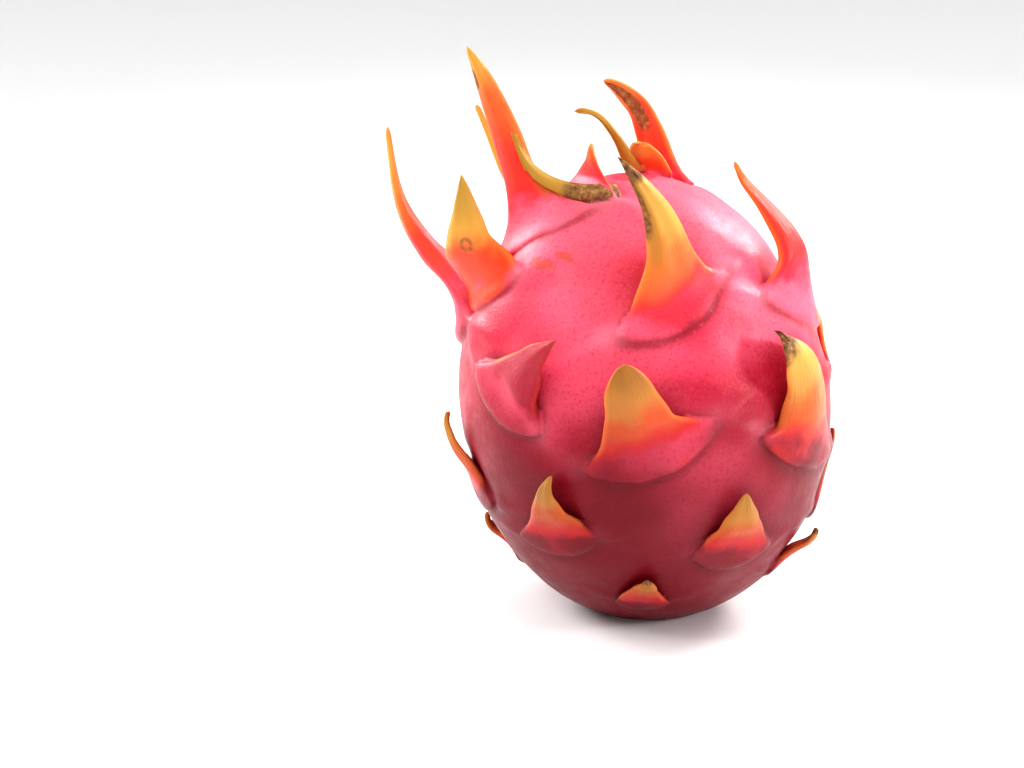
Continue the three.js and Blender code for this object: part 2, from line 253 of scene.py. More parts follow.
def midline(spec, root, outward, right, t):
    """Cubic through the root and the three way points: each point is weighed by a cubic in t."""
    points = [root] + [root + o * outward + s * right + np.array([0, 0, u]) for o, s, u in spec["way"]]
    length = sum(np.linalg.norm(b - a) for a, b in zip(points, points[1:]))
    t = t[:, None]
    weights = [-4.5 * (t - 1 / 3) * (t - 2 / 3) * (t - 1), 13.5 * t * (t - 2 / 3) * (t - 1),
               -13.5 * t * (t - 1 / 3) * (t - 1), 4.5 * t * (t - 1 / 3) * (t - 2 / 3)]
    slopes = [-4.5 * (3 * t * t - 4 * t + 11 / 9), 13.5 * (3 * t * t - 10 / 3 * t + 2 / 3),
              -13.5 * (3 * t * t - 8 / 3 * t + 1 / 3), 4.5 * (3 * t * t - 2 * t + 2 / 9)]
    place = sum(w * p for w, p in zip(weights, points))
    ahead = unit(sum(w * p for w, p in zip(slopes, points)))
    return place, ahead, length


def half_width(spec, r, t, past):
    """Half width: climbs the chin, then drops from the wings to the blade, which narrows to the tip."""
    span, blade = spec["wide"] / 2, spec["blade"] / 2
    narrow = np.clip(1 - t ** spec["shape"][0], 0, 1) ** spec["shape"][1]
    tongue = blade * narrow + (span - blade) * np.exp(-past / spec["fade"]) * (1 - t)
    return np.where(r < 1, span * r, tongue)


print("rows of a scale, first to last:", np.round(stations(8)[1], 2))

# %% [markdown]
# ### Growth marks on a scale
#
# A grown leaf is never even. Its rim waves, faint folds run from root to tip, and where the end has
# dried the edge is nicked. Random numbers could be used, but sums of sines with a phase from the
# scale's own name are as uneven, and are the same each time the script runs.

# %% Waves, folds and nicks


def phase_of(name):
    """A number between 0 and 2 pi from the letters of a name."""
    return (sum(ord(c) * (i + 3) for i, c in enumerate(name)) * 0.61803) % 1 * 2 * np.pi


def rim_wave(phase, t, right_side):
    """Wave of the rim: two sines along the blade, other on the left than on the right rim."""
    shift = phase + np.where(right_side, 2.1, 0)
    return 0.6 * np.sin(9 * t + shift) + 0.4 * np.sin(17 * t + 2.3 * shift)


def folds(phase, q, t):
    """Lengthwise folds of the face: a sine across the blade that fades at the rims."""
    return np.sin(5.5 * q + phase + 1.5 * t) * (1 - q * q) * smooth(t * 4) * (1 - 0.6 * t)


def nicks(phase, q, t):
    """Ragged end: a sharp-edged sum of sines across the tip, only in the last eighth."""
    saw = np.abs(np.sin(4.1 * q + phase)) + 0.6 * np.abs(np.sin(9.7 * q + 2 * phase))
    return saw * smooth((t - 0.86) / 0.14)


print("phase of front_long: %.2f" % phase_of("front_long"))

# %% The surface of one scale
FLARE_RUN = 12.0        # mm along a scale in which it turns from the skin's way to its own
FREE_RUN = 10           # mm after which it stands free of the skin
CUP_RUN = 14            # mm in which it changes from the bend of the skin to its own
SKIN_BEND = 44          # mm, about the radius of the body
WING_REACH = 7          # mm on either side of the wings in which the rows are evened
EVENING_PASSES = 24


def scale_surface(name, spec):
    """Closed surface of a scale: midline plus width across, bent round, plus thickness out of it.

    Near the wings each row is drawn towards the mean of its neighbours, so chin and tongue flow together.
    Returns the grid of points and, on the same grid, t along it, q across it and f, outer or inner.
    """
    root, outward, right, across, along, normal = root_frame(spec)
    phase = phase_of(name)
    r, t = stations(spec["rows"])
    place, ahead, length = midline(spec, root, outward, right, t)
    past = t * length
    below = (r < 1)[:, None]
    place = np.where(below, root - along * (spec["chin"] * (1 - r * r))[:, None], place)
    ahead = np.where(below, along, ahead)

    turned = smooth(past / FLARE_RUN)[:, None]
    wide = unit(across - (ahead @ across)[:, None] * ahead)
    face = np.cross(wide, ahead)
    wide, face = unit(across * (1 - turned) + wide * turned), unit(normal * (1 - turned) + face * turned)
    twist = (np.radians(spec["roll"]) * t ** 0.7)[:, None]
    wide, face = wide * np.cos(twist) - face * np.sin(twist), face * np.cos(twist) + wide * np.sin(twist)

    angle = -np.arange(spec["cols"]) / spec["cols"] * 2 * np.pi
    q = (np.sign(np.cos(angle)) * np.abs(np.cos(angle)) ** 0.9)[None, :]
    f = (np.sign(np.sin(angle)) * np.abs(np.sin(angle)) ** 0.75)[None, :]
    r, t, past = r[:, None], t[:, None], past[:, None]
    span = spec["wide"] / 2
    half = half_width(spec, r, t, past)
    free = smooth(past / FREE_RUN)                 # 0 on the skin, 1 where the blade stands free
    waved = half * (1 + 0.06 * free * rim_wave(phase, t, q > 0) * np.abs(q))
    cupping = smooth(past / CUP_RUN)
    bend = (1 - cupping) / SKIN_BEND + cupping * np.radians(spec["cup"]) / np.maximum(2 * half, 2)
    done = (r * r * spec["chin"] + past) / (spec["chin"] + length)
    thickness = (RIM_THIN + (spec["thick"] - RIM_THIN) * (1 - done) ** 1.6) * np.sqrt(1 - (1 - r) ** 2)
    thickness = thickness * np.sqrt(np.clip((1 - t) / 0.03, 0, 1))

    y = waved * q * bend
    place, wide, face, ahead = (v[:, None, :] for v in (place, wide, face, ahead))
    middle = place + wide * (np.sin(y) / bend)[..., None] - face * ((1 - np.cos(y)) / bend)[..., None]
    held = smooth(1 - np.clip(past / spec["hug"], 0, 1))
    wanted = (PROUD + SINK) * (q * half / span) ** 2 - SINK
    middle = middle + face * (held * (wanted - over_skin(middle)))[..., None]
    lift = 0.35 * free * folds(phase, q, t) + 0.3 * free * rim_wave(phase + 1, t, q > 0) * q * q
    lift = lift + spec["ridge"] * free * np.clip(1 - np.abs(q + 0.42) / 0.42, 0, 1) * (1 - t) ** 0.3
    lift = lift * np.clip((1 - t) / 0.05, 0, 1)
    back = -1.6 * spec["worn"] * nicks(phase, q, t) * np.clip((1 - t) / 0.001, 0, 1)
    off = thickness / 2 * f
    points = middle + wide * (off * np.sin(y))[..., None] + face * (off * np.cos(y) + lift)[..., None]
    points = points + ahead * back[..., None]
    past_wings = past - spec["chin"] * (1 - r * r)
    soft = (0.8 * np.exp(-(past_wings / WING_REACH) ** 2) * (1 - q ** 4))[1:-1, :, None]
    for _ in range(EVENING_PASSES):
        points[1:-1] += soft * ((points[:-2] + points[2:]) / 2 - points[1:-1])
    return points, t + 0 * q, q + 0 * t, f + 0 * t


grid, _, _, _ = scale_surface("front_long", SCALES["front_long"])
print("front_long grid", grid.shape, "top at %.1f mm" % grid[..., 2].max())

# %% [markdown]
# ## The living skin of the body
#
# Between the scales the skin is not an egg. It dips in the armpit above each scale, and a low ridge
# runs on from each wing tip, because the scale's rim fades into the fruit. A displacement texture
# could hint at it, but the dips catch real shadows, so they are moved points.

# %% Dips and ridges round the roots


def swelling(points):
    """Height to add to the skin: for each scale a dip above its root and ridges past its wing tips.

    Both are bell curves of the place in the root's own frame, across u and along w.
    """
    height = np.zeros(points.shape[:-1])
    for spec in SCALES.values():
        root, _, _, across, along, normal = root_frame(spec)
        from_root = points - root
        u, w = from_root @ across, from_root @ along
        near = np.exp(-(from_root @ normal / 14) ** 2)
        span, size = spec["wide"] / 2, spec["wide"] / 30
        dip = np.exp(-(u / (0.55 * span)) ** 2 - ((w - 0.35 * span) / (0.40 * span)) ** 2)
        beyond = smooth((np.abs(u) - 0.6 * span) / (0.5 * span))
        beyond = beyond * np.exp(-((np.abs(u) - span) / (0.9 * span)) ** 2)
        line = w - 0.10 * (np.abs(u) - span)
        ridge = beyond * np.exp(-(line / (1.8 * size + 0.6)) ** 2)
        belly = np.exp(-(u / (0.8 * span)) ** 2 - ((w + 0.5 * span) / (0.5 * span)) ** 2)
        height += size * near * (1.1 * ridge - 1.5 * dip + 0.7 * belly)
    return height


def slow_waves(points):
    """Broad unevenness of a grown body: three crossed sines, about three tenths of a millimetre."""
    x, y, z = (points[..., i] for i in range(3))
    return 0.3 * (np.sin(0.09 * x + 0.11 * z) * np.cos(0.12 * y) + np.sin(0.13 * z - 0.07 * y + 1)
                  + 0.6 * np.sin(0.21 * x + 0.17 * y - 0.1 * z))


# %% The surface of the body
BODY_ROWS, BODY_COLS = 130, 200
SPOT_ROWS, NAVEL_ROWS = 12, 9


def body_profile(rows):
    """Radius and height from the stem to the bottom of the navel: spot, skin, navel."""
    spot = np.linspace(0, 1, SPOT_ROWS)[:, None] * [SPOT_RADIUS, 0]
    angle = np.linspace(0, 1, rows)[1:-1] * np.pi
    z = EQUATOR - np.where(angle < np.pi / 2, EQUATOR, BODY_HEIGHT - EQUATOR) * np.cos(angle)
    flank = np.stack([BODY_WIDTH / 2 * profile(z), z], 1)
    flank = flank[flank[:, 0] > NAVEL_RADIUS * 1.35]
    a = np.linspace(0, 1, NAVEL_ROWS)[:, None]
    rim = BODY_HEIGHT - END_GAP
    navel = np.concatenate([NAVEL_RADIUS * (1.15 - 1.15 * a), rim - NAVEL_DEPTH * smooth(a * 1.3)], 1)
    path = np.concatenate([spot, flank, navel])
    return path[:, 0], path[:, 1]


def body_surface(rows, cols):
    """The profile turned round the leaning axis, then moved out by the swelling of the skin.

    A ring of low bumps, a sum of sines round the stem, stands for the scar under the fruit.
    """
    radius, z = body_profile(rows)
    turn = np.arange(cols) / cols * 2 * np.pi
    radius, z = radius[:, None], z[:, None] + 0 * turn
    depth = radius * BODY_DEPTH / BODY_WIDTH
    points = np.stack([lean(z) + radius * np.sin(turn), -depth * np.cos(turn), z], -1)
    along = np.gradient(points, axis=0)
    round_ = np.roll(points, -1, 1) - np.roll(points, 1, 1)
    normal = unit(np.cross(round_, along) + 1e-12)
    free = smooth((z - 2.5) / 12) * smooth((BODY_HEIGHT - 1 - z) / 4)
    height = free * (swelling(points) + slow_waves(points))
    scar = smooth((radius - 1) / 2) * smooth((9 - radius) / 2) * (z < 0.01)
    ring = 0.35 + 0.15 * np.sin(radius * 2.4 + 0.6 * np.sin(5 * turn)) + 0.1 * np.sin(11 * turn)
    points = points + normal * height[..., None]
    points[..., 2] += np.clip(scar * ring, 0, 1)
    return points


body_grid = body_surface(BODY_ROWS, BODY_COLS)
print("body grid", body_grid.shape, "box", np.round(body_grid.reshape(-1, 3).min(0), 1),
      np.round(body_grid.reshape(-1, 3).max(0), 1))

# %% [markdown]
# ## From grids to one skin
#
# Each grid becomes a closed mesh: its first and last rows are drawn together to one point. The meshes
# overlap, and a fruit has no seams, so a Boolean union keeps only the outside. Metaballs or a voxel
# remesh would join them too, but they would blunt the thin rims.

# %% A closed grid as a mesh


def mesh_from_grid(name, points, material_index=0):
    """Closed mesh: quads between neighbouring rows, triangles at both poles. Metres from here on."""
    rows, cols = points.shape[:2]
    flat = np.concatenate([points[0].mean(0)[None], points[1:-1].reshape(-1, 3), points[-1].mean(0)[None]])
    index = 1 + np.arange((rows - 2) * cols).reshape(rows - 2, cols)
    turned = np.roll(index, -1, 1)
    quads = np.stack([index[:-1], turned[:-1], turned[1:], index[1:]], -1).reshape(-1, 4)
    first = np.stack([np.zeros(cols, int), turned[0], index[0]], -1)
    last = np.stack([np.full(cols, len(flat) - 1), index[-1], turned[-1]], -1)
    mesh = bpy.data.meshes.new(name)
    mesh.from_pydata((flat / 1000).tolist(), [], quads.tolist() + first.tolist() + last.tolist())
    mesh.polygons.foreach_set("material_index", np.full(len(mesh.polygons), material_index, np.int32))
    mesh.update()
    return mesh


def signed_volume(mesh):
    """Volume by the divergence rule: the sum of corner dot edge cross edge, over six."""
    mesh.calc_loop_triangles()
    co = np.empty(len(mesh.vertices) * 3)
    mesh.vertices.foreach_get("co", co)
    tri = np.empty(len(mesh.loop_triangles) * 3, np.int32)
    mesh.loop_triangles.foreach_get("vertices", tri)
    a, b, c = co.reshape(-1, 3)[tri.reshape(-1, 3)].transpose(1, 0, 2)
    return float((a * np.cross(b, c)).sum() / 6)


def object_of(name, mesh, materials):
    """An object at the origin that shows the mesh, with its material slots filled."""
    obj = bpy.data.objects.new(name, mesh)
    for material in materials:
        mesh.materials.append(material)
    bpy.context.scene.collection.objects.link(obj)
    return obj


skin_slot, scale_slot = bpy.data.materials.new("body_skin"), bpy.data.materials.new("scale_skin")
body_mesh = mesh_from_grid("fruit", body_grid)
print("body volume %.0f cm3" % (signed_volume(body_mesh) * 1e6))

# %% Union of the body and the scales
fruit = object_of("dragon_fruit_skin", body_mesh, [skin_slot, scale_slot])
grids = {name: scale_surface(name, spec) for name, spec in SCALES.items()}
scale_objects = []
for name, (points, _, _, _) in grids.items():
    mesh = mesh_from_grid(name, points, 1)
    if signed_volume(mesh) < 0:
        print(name, "is inside out")
    scale_objects.append(object_of(name, mesh, [skin_slot, scale_slot]))
for obj in scale_objects:
    join = fruit.modifiers.new(obj.name, "BOOLEAN")
    join.operation, join.object, join.solver, join.material_mode = "UNION", obj, "MANIFOLD", "INDEX"
bpy.context.view_layer.update()
joined = bpy.data.meshes.new_from_object(fruit.evaluated_get(bpy.context.evaluated_depsgraph_get()))
fruit.modifiers.clear()
fruit.data = joined
for obj in scale_objects:
    bpy.data.objects.remove(obj)
print("joined: %d points, %d faces, %.0f cm3"
      % (len(joined.vertices), len(joined.polygons), signed_volume(joined) * 1e6))

# %% [markdown]
# ## Rounding the joints
#
# After the union each root meets the skin in a hard line, but on the fruit it flows out of it. A Bevel
# modifier can't follow such a line through uneven triangles. Instead the points near the line are
# drawn towards the middle of their neighbours a few times, less and less with distance.

# %% Distance from the joint line
FAR = 1e3               # mm, further than any point of the fruit
SPREAD_STEPS = 12
count = len(joined.vertices)
place = np.empty(count * 3)
joined.vertices.foreach_get("co", place)
place = place.reshape(-1, 3) * 1000
edges = np.empty(len(joined.edges) * 2, np.int32)
joined.edges.foreach_get("vertices", edges)
edges = edges.reshape(-1, 2)
corner_point = np.empty(len(joined.loops), np.int32)
joined.loops.foreach_get("vertex_index", corner_point)
face_size = np.empty(len(joined.polygons), np.int32)
joined.polygons.foreach_get("loop_total", face_size)
face_kind = np.empty(len(joined.polygons), np.int32)
joined.polygons.foreach_get("material_index", face_kind)
corner_kind = np.repeat(face_kind, face_size)
of_body, of_scale = np.zeros(count, bool), np.zeros(count, bool)
of_body[corner_point[corner_kind == 0]] = True
of_scale[corner_point[corner_kind == 1]] = True
joint = of_body & of_scale


def spread(start, steps):
    """Distance along the edges from the points where start is True.

    Each point takes the shortest of its neighbours' distances plus the edge between them.
    """
    distance = np.where(start, 0.0, FAR)
    length = np.linalg.norm(place[edges[:, 0]] - place[edges[:, 1]], axis=1)
    for _ in range(steps):
        np.minimum.at(distance, edges[:, 0], distance[edges[:, 1]] + length)
        np.minimum.at(distance, edges[:, 1], distance[edges[:, 0]] + length)
    return distance


from_joint = spread(joint, SPREAD_STEPS)
print(joint.sum(), "points on the joint lines")

# %% Draw the points near the joint together
FILLET = 1.5            # mm either side of the joint line
ROUNDING_PULL, ROUNDING_PASSES = 0.6, 8
FLOOR_GAP = 0.02        # mm: a point lower than this rests on the floor and keeps its height
neighbours = np.bincount(edges.ravel(), minlength=count)
pull = ROUNDING_PULL * smooth(1 - from_joint / FILLET)[:, None]
rounded = place.copy()
for _ in range(ROUNDING_PASSES):
    total = np.zeros_like(rounded)
    np.add.at(total, edges[:, 0], rounded[edges[:, 1]])
    np.add.at(total, edges[:, 1], rounded[edges[:, 0]])
    rounded += pull * (total / neighbours[:, None] - rounded)
resting = place[:, 2] < FLOOR_GAP
rounded[resting, 2] = place[resting, 2]
print("moved by up to %.2f mm" % np.linalg.norm(rounded - place, axis=1).max())

# %% [markdown]
# ## Telling the colours where they are
#
# The colour of a scale follows its growth: pink at the root, then red, orange, yellow and at last dry
# brown. Painting a texture by hand is one way. Here each point of the joined skin looks up the nearest
# point of the scale it came from, and keeps how far along, across and inside it lies, as attributes
# that the materials read.

# %% Nearest point of the scale grids
OWN_VALUES = ("ripe", "green", "dry", "ember", "deep_and_shade")    # taken as they are from the table of scales
LEAF_LENGTH = 40        # mm given to every scale in the pattern of its fibres
nearest = np.full(count, FAR)
facts = np.zeros((count, 3))                  # t along, q across, f outer or inner
values = {key: np.zeros(count) for key in (*OWN_VALUES, "stain", "facet", "rim")}
leaf = np.zeros((count, 3))


def stains_of(name, t, q):
    """Brown marks: each is a flat-topped bell curve at its own place along and across the scale.

    A mark is its middle along and across, its half length, its half width and its strength.
    """
    marks = {"front_long": [(0.80, -1.0, 0.34, 0.42, 0.9)],
             "tall": [(0.84, -0.8, 0.06, 0.45, 0.9), (0.72, -0.3, 0.05, 0.3, 0.35)],
             "rolled": [(0.0, 0.0, 0.30, 3.0, 1.2)],
             "back_long": [(0.80, 0.1, 0.45, 0.65, 1.1)]}.get(name, [])
    return sum((strength * np.exp(-((t - middle) / long) ** 4 - ((q - across) / wide) ** 4)
                for middle, across, long, wide, strength in marks), 0 * t)


def band_of(name, t, q, f):
    """Olive band along one side of a blade: soft steps across it and along it."""
    # On front_long the band lies on the left facet of the fold: partly its olive colour, partly painted
    # shade on that facet's shadow side.
    if name == "front_long":
        return smooth((-0.30 - q) / 0.16) * smooth((t - 0.16) / 0.25) * (f > -0.2)
    if name == "tall":
        return 0.9 * smooth((q - 0.45) / 0.2) * smooth((t - 0.05) / 0.1) * smooth((0.75 - t) / 0.3)
    return 0 * t


for name, (points, t, q, f) in grids.items():
    flat = points.reshape(-1, 3)
    low, high = flat.min(0) - 0.5, flat.max(0) + 0.5
    inside = np.flatnonzero(of_scale & ((place > low) & (place < high)).all(1))    # in the scale's box
    gap = ((place[inside, None] - flat[None]) ** 2).sum(-1)
    best, gap = gap.argmin(1), np.sqrt(gap.min(1))
    closer = gap < nearest[inside]
    mine, best = inside[closer], best[closer]
    nearest[mine] = gap[closer]
    spec = SCALES[name]
    t, q, f = (grid.ravel()[best] for grid in (t, q, f))
    facts[mine] = np.stack([t, q, f], 1)
    for key in OWN_VALUES:
        values[key][mine] = spec[key]
    values["facet"][mine] = band_of(name, t, q, f)
    values["rim"][mine] = smooth((np.abs(q) - 0.8) / 0.19) * np.where(q < 0, *spec["rims"])
    values["stain"][mine] = stains_of(name, t, q)
    leaf[mine] = np.stack([q * spec["blade"] / 2, t * LEAF_LENGTH, 0 * t], 1)
print("furthest look-up %.2f mm" % nearest[of_scale].max())

# %% Painted highlights on the wing tips
# The wing tips of the large scales are painted paler, a highlight where they catch the light.
LARGE = 24              # mm wide: a smaller scale has no pale wing tips


def painted_wing_highlight(p):
    """Painted highlight on the skin: on each large scale two bell curves, one at either wing tip."""
    glow = np.zeros(len(p))
    for spec in SCALES.values():
        root, _, _, across, along, normal = root_frame(spec)
        from_root, span = p - root, spec["wide"] / 2
        u, w = from_root @ across, from_root @ along
        near = np.exp(-(from_root @ normal / 10) ** 2) * (spec["wide"] >= LARGE)
        from_wing = ((np.abs(u) - 0.92 * span) / (0.20 * span)) ** 2
        glow += near * np.exp(-from_wing - ((w - 0.06 * span) / (0.16 * span)) ** 2)
    return glow


print("most wings on one point: %.2f" % painted_wing_highlight(place).max())

# %% Attributes on the joined skin
COLOUR_FADE, CREASE_SHADE_FADE = 2.5, 2.0    # mm from the joint line in which a colour and a crease fade
on_scale = np.where(of_scale, smooth(from_joint / COLOUR_FADE), 0.0)
along, facing = facts[:, 0], facts[:, 2]
inner_face = smooth(-facing * 1.5) * np.clip(values["ripe"] * 1.4, 0, 1)
attributes = {
    "on_scale": on_scale,
    "along": along,
    # painted highlight at the wing tips
    "wing_highlight": painted_wing_highlight(place),
    "inner": np.where(of_scale, inner_face, 0) * smooth(along * 12),
    # painted shade along the lines where the roots meet the skin
    "crease_shade": np.where(of_scale, smooth(1 - along * 40), 1) * np.exp(-(from_joint / CREASE_SHADE_FADE) ** 2),
    # painted shade in the dips above the roots
    "hollow_shade": np.where(of_scale, 0, np.clip(-swelling(place) / 1.2, 0, 1)),
    **values,
}
for name, data in attributes.items():
    layer = joined.attributes.new(name, "FLOAT", "POINT")
    layer.data.foreach_set("value", data.astype(np.float32))
layer = joined.attributes.new("leaf", "FLOAT_VECTOR", "POINT")
layer.data.foreach_set("vector", leaf.astype(np.float32).ravel())
joined.vertices.foreach_set("co", (rounded / 1000).astype(np.float32).ravel())
joined.polygons.foreach_set("use_smooth", np.ones(len(joined.polygons), bool))
joined.update()
print("attributes:", ", ".join(attributes))

# %% [markdown]
# ## The finish
#
# One material covers the fruit, because skin and scales are one tissue. It could be painted, but a
# fruit has detail at every size: flushes as wide as a thumb, freckles, pores and the fibres of the
# scales. Noise textures on Object coordinates give the first three, and the attributes made above say
# where the colours of the scales begin.

# %% Helpers for nodes


class Nodes:
    """Adds nodes to one material and wires them as they are made."""

    def __init__(self, material):
        material.use_nodes = True
        self.tree = material.node_tree
        self.shader = self.tree.nodes["Principled BSDF"]
        self.place = self.add("ShaderNodeTexCoord").outputs["Object"]

    def add(self, kind, **settings):
        node = self.tree.nodes.new(kind)
        for key, value in settings.items():
            setattr(node, key, value)
        return node

    def wire(self, value, socket):
        """Puts a number, a colour or another node's output into a socket."""
        if isinstance(value, bpy.types.NodeSocket):
            self.tree.links.new(value, socket)
        else:
            socket.default_value = value

    def attribute(self, name, output="Fac"):
        return self.add("ShaderNodeAttribute", attribute_name=name).outputs[output]

    def math(self, operation, a, b=0.0, clamp=False):
        node = self.add("ShaderNodeMath", operation=operation, use_clamp=clamp)
        self.wire(a, node.inputs[0])
        self.wire(b, node.inputs[1])
        return node.outputs[0]

    def plus(self, a, b):
        return self.math("ADD", a, b)

    def minus(self, a, b):
        return self.math("SUBTRACT", a, b)

    def times(self, a, b, clamp=False):
        return self.math("MULTIPLY", a, b, clamp)

    def vector(self, operation, a, b=None):
        """A vector worked out from one or two others, or its length."""
        node = self.add("ShaderNodeVectorMath", operation=operation)
        self.wire(a, node.inputs[0])
        if b is not None:
            self.wire(b, node.inputs[1])
        return node.outputs["Value" if operation == "LENGTH" else "Vector"]

    def step(self, value, low, high, to_low=0.0, to_high=1.0):
        """A soft step of value between low and high."""
        node = self.add("ShaderNodeMapRange", interpolation_type="SMOOTHSTEP")
        for socket, number in zip(node.inputs, (value, low, high, to_low, to_high)):
            self.wire(number, socket)
        return node.outputs[0]

    def noise(self, scale, detail=3.0, roughness=0.55, vector=None):
        node = self.add("ShaderNodeTexNoise")
        self.wire(self.place if vector is None else vector, node.inputs["Vector"])
        node.inputs["Scale"].default_value = scale
        node.inputs["Detail"].default_value = detail
        node.inputs["Roughness"].default_value = roughness
        return node.outputs["Fac"]

    def spot(self, centre, size):
        """Distance from a centre: the length of place minus centre, each axis over its own size, in mm."""
        from_centre = self.vector("SUBTRACT", self.place, [c / 1000 for c in centre])
        return self.vector("LENGTH", self.vector("MULTIPLY", from_centre, [1000 / c for c in size]))

    def mix(self, factor, a, b):
        node = self.add("ShaderNodeMix", data_type="RGBA")
        self.wire(factor, node.inputs[0])
        self.wire(a, node.inputs[6])
        self.wire(b, node.inputs[7])
        return node.outputs[2]

    def ramp(self, value, stops):
        node = self.add("ShaderNodeValToRGB")
        node.color_ramp.interpolation = "EASE"
        while len(node.color_ramp.elements) < len(stops):
            node.color_ramp.elements.new(0.5)
        for element, (position, colour) in zip(node.color_ramp.elements, stops):
            element.position, element.color = position, (*colour, 1)
        self.wire(value, node.inputs[0])
        return node.outputs[0]


fruit_finish = bpy.data.materials.new("fruit_skin")
n = Nodes(fruit_finish)
print("a new material for the skin")

# %% Colour of the body's skin
HOT_PINK, LIGHT_PINK = (0.62, 0.011, 0.052, 1), (0.88, 0.085, 0.16, 1)
# The crimson is partly the fruit's own deeper colour at the stem end and partly painted shade: low down, in
# the dips and along the creases at the roots.
CRIMSON_AND_SHADE, WARM_PINK = (0.12, 0.0003, 0.004, 1), (0.86, 0.07, 0.10, 1)
# The pale crown pink is a painted highlight: the upper body is made lighter where the light falls on it.
CROWN_HIGHLIGHT_PINK = (0.95, 0.17, 0.25, 1)
CROWN_HIGHLIGHT_HEIGHTS, STEM_SHADE_HEIGHTS = (0.082, 0.120), (0.112, 0.056)    # metres, from no effect to the full one
height = n.add("ShaderNodeSeparateXYZ")
n.wire(n.place, height.inputs[0])
flush = n.noise(28, 2.0)
mottle = n.noise(170, 3.0, 0.6)
skin_colour = n.mix(n.step(flush, 0.42, 0.62), HOT_PINK, LIGHT_PINK)
# Painted highlight: the upper body is mixed towards pale pink, as if lit from above.
crown_highlight = n.step(n.plus(height.outputs["Z"], n.times(flush, 0.03)), *CROWN_HIGHLIGHT_HEIGHTS)
skin_colour = n.mix(n.times(crown_highlight, 0.55), skin_colour, CROWN_HIGHLIGHT_PINK)
skin_colour = n.mix(n.step(mottle, 0.50, 0.75, 0.0, 0.45), skin_colour, WARM_PINK)
# Darker crimson towards the stem end: partly the fruit's own deeper colour, partly painted shade where the
# lower body turns away from the light.
low_deeper_and_shaded = n.step(n.plus(height.outputs["Z"], n.times(flush, 0.05)), *STEM_SHADE_HEIGHTS)
skin_colour = n.mix(n.times(low_deeper_and_shaded, 0.9), skin_colour, CRIMSON_AND_SHADE)
# Painted shade: crimson in the dips above the roots, where shade gathers.
skin_colour = n.mix(n.times(n.attribute("hollow_shade"), 0.35), skin_colour, CRIMSON_AND_SHADE)
# Painted shade: a dark crimson line where each root meets the skin, as under an overhang.
skin_colour = n.mix(n.times(n.attribute("crease_shade"), 0.6), skin_colour, CRIMSON_AND_SHADE)
print("skin: hot pink, lighter flushes, crimson low down")

# %% Freckles, scratches, painted highlights on the wing tips and the dry pit at the crown
LIGHT_FRECKLE, DARK_FRECKLE = (0.85, 0.17, 0.12, 1), (0.45, 0.004, 0.03, 1)
SCRATCH_BROWN, WING_HIGHLIGHT_PINK, PIT_BROWN = (0.50, 0.055, 0.022, 1), (0.95, 0.24, 0.32, 1), (0.26, 0.10, 0.03, 1)
# centre and half size of each scratch, and of the pit, in mm
SCRATCHES = [((-27, -21.2, 92.3), (3.6, 9, 1.3)), ((-22, -23.3, 94.5), (2.4, 9, 1.0)),
             ((-30, 30, 70), (6, 9, 1.0)), ((8, 40, 80), (7, 9, 0.8))]
PIT = ((-5, 0, 107), (5.5, 5.5, 5))
freckle = n.noise(1150, 2.0, 0.7)
ragged = n.noise(700, 3.0, 0.7)
# Freckles are the skin's own; lower down they darken with the painted shade.
for limits, amount, tint in (((0.56, 0.70), 0.22, LIGHT_FRECKLE), ((0.46, 0.34), 0.38, DARK_FRECKLE)):
    skin_colour = n.mix(n.step(freckle, *limits, 0.0, amount), skin_colour, n.mix(low_deeper_and_shaded, tint, CRIMSON_AND_SHADE))
for centre, size in SCRATCHES:
    away = n.plus(n.spot(centre, size), n.times(ragged, 2.4))
    skin_colour = n.mix(n.step(away, 2.30, 1.85, 0.0, 0.70), skin_colour, SCRATCH_BROWN)
# Painted highlight: the wing tips are mixed towards pale pink, less so low down where the body is shaded.
wings = n.times(n.attribute("wing_highlight"), n.minus(0.42, n.times(low_deeper_and_shaded, 0.37)))
skin_colour = n.mix(wings, skin_colour, WING_HIGHLIGHT_PINK)
dry_pit = n.step(n.plus(n.spot(*PIT), n.times(ragged, 0.5)), 1.2, 0.75, 0.0, 0.8)
skin_colour = n.mix(dry_pit, skin_colour, PIT_BROWN)
print(len(SCRATCHES), "scratches")

# %% Colour of the scales, from root to tip
TONGUE = [(0.10, (0.80, 0.010, 0.050)), (0.32, (0.86, 0.030, 0.040)), (0.48, (0.82, 0.18, 0.038)),
          (0.62, (0.74, 0.35, 0.062)), (0.95, (0.62, 0.38, 0.065))]
EMBER_RED, OLIVE, GREEN = (0.82, 0.055, 0.012, 1), (0.48, 0.20, 0.022, 1), (0.40, 0.20, 0.022, 1)
RIM_ORANGE, INNER_RED = (0.88, 0.22, 0.04, 1), (0.86, 0.06, 0.045, 1)
# The dark crimson of some scales is partly their own colour and partly painted shade for scales that stand
# in shadow; their rims keep a darker orange-red.
DEEP_SHADE_RED, DEEP_SHADE_RIM = (0.30, 0.001, 0.020, 1), (0.80, 0.13, 0.025, 1)
along_uneven = n.plus(n.attribute("along"), n.step(n.noise(95, 3.0), 0.3, 0.7, -0.07, 0.07))
grown = n.minus(along_uneven, n.attribute("ripe"))
grown = n.plus(n.times(grown, 0.55), 0.5)      # 0.5 where the pink ends and the orange begins
tongue = n.ramp(grown, TONGUE)
from_fire = n.math("ABSOLUTE", n.minus(grown, 0.38))
tongue = n.mix(n.times(n.step(from_fire, 0.28, 0.10), n.attribute("ember")), tongue, EMBER_RED)
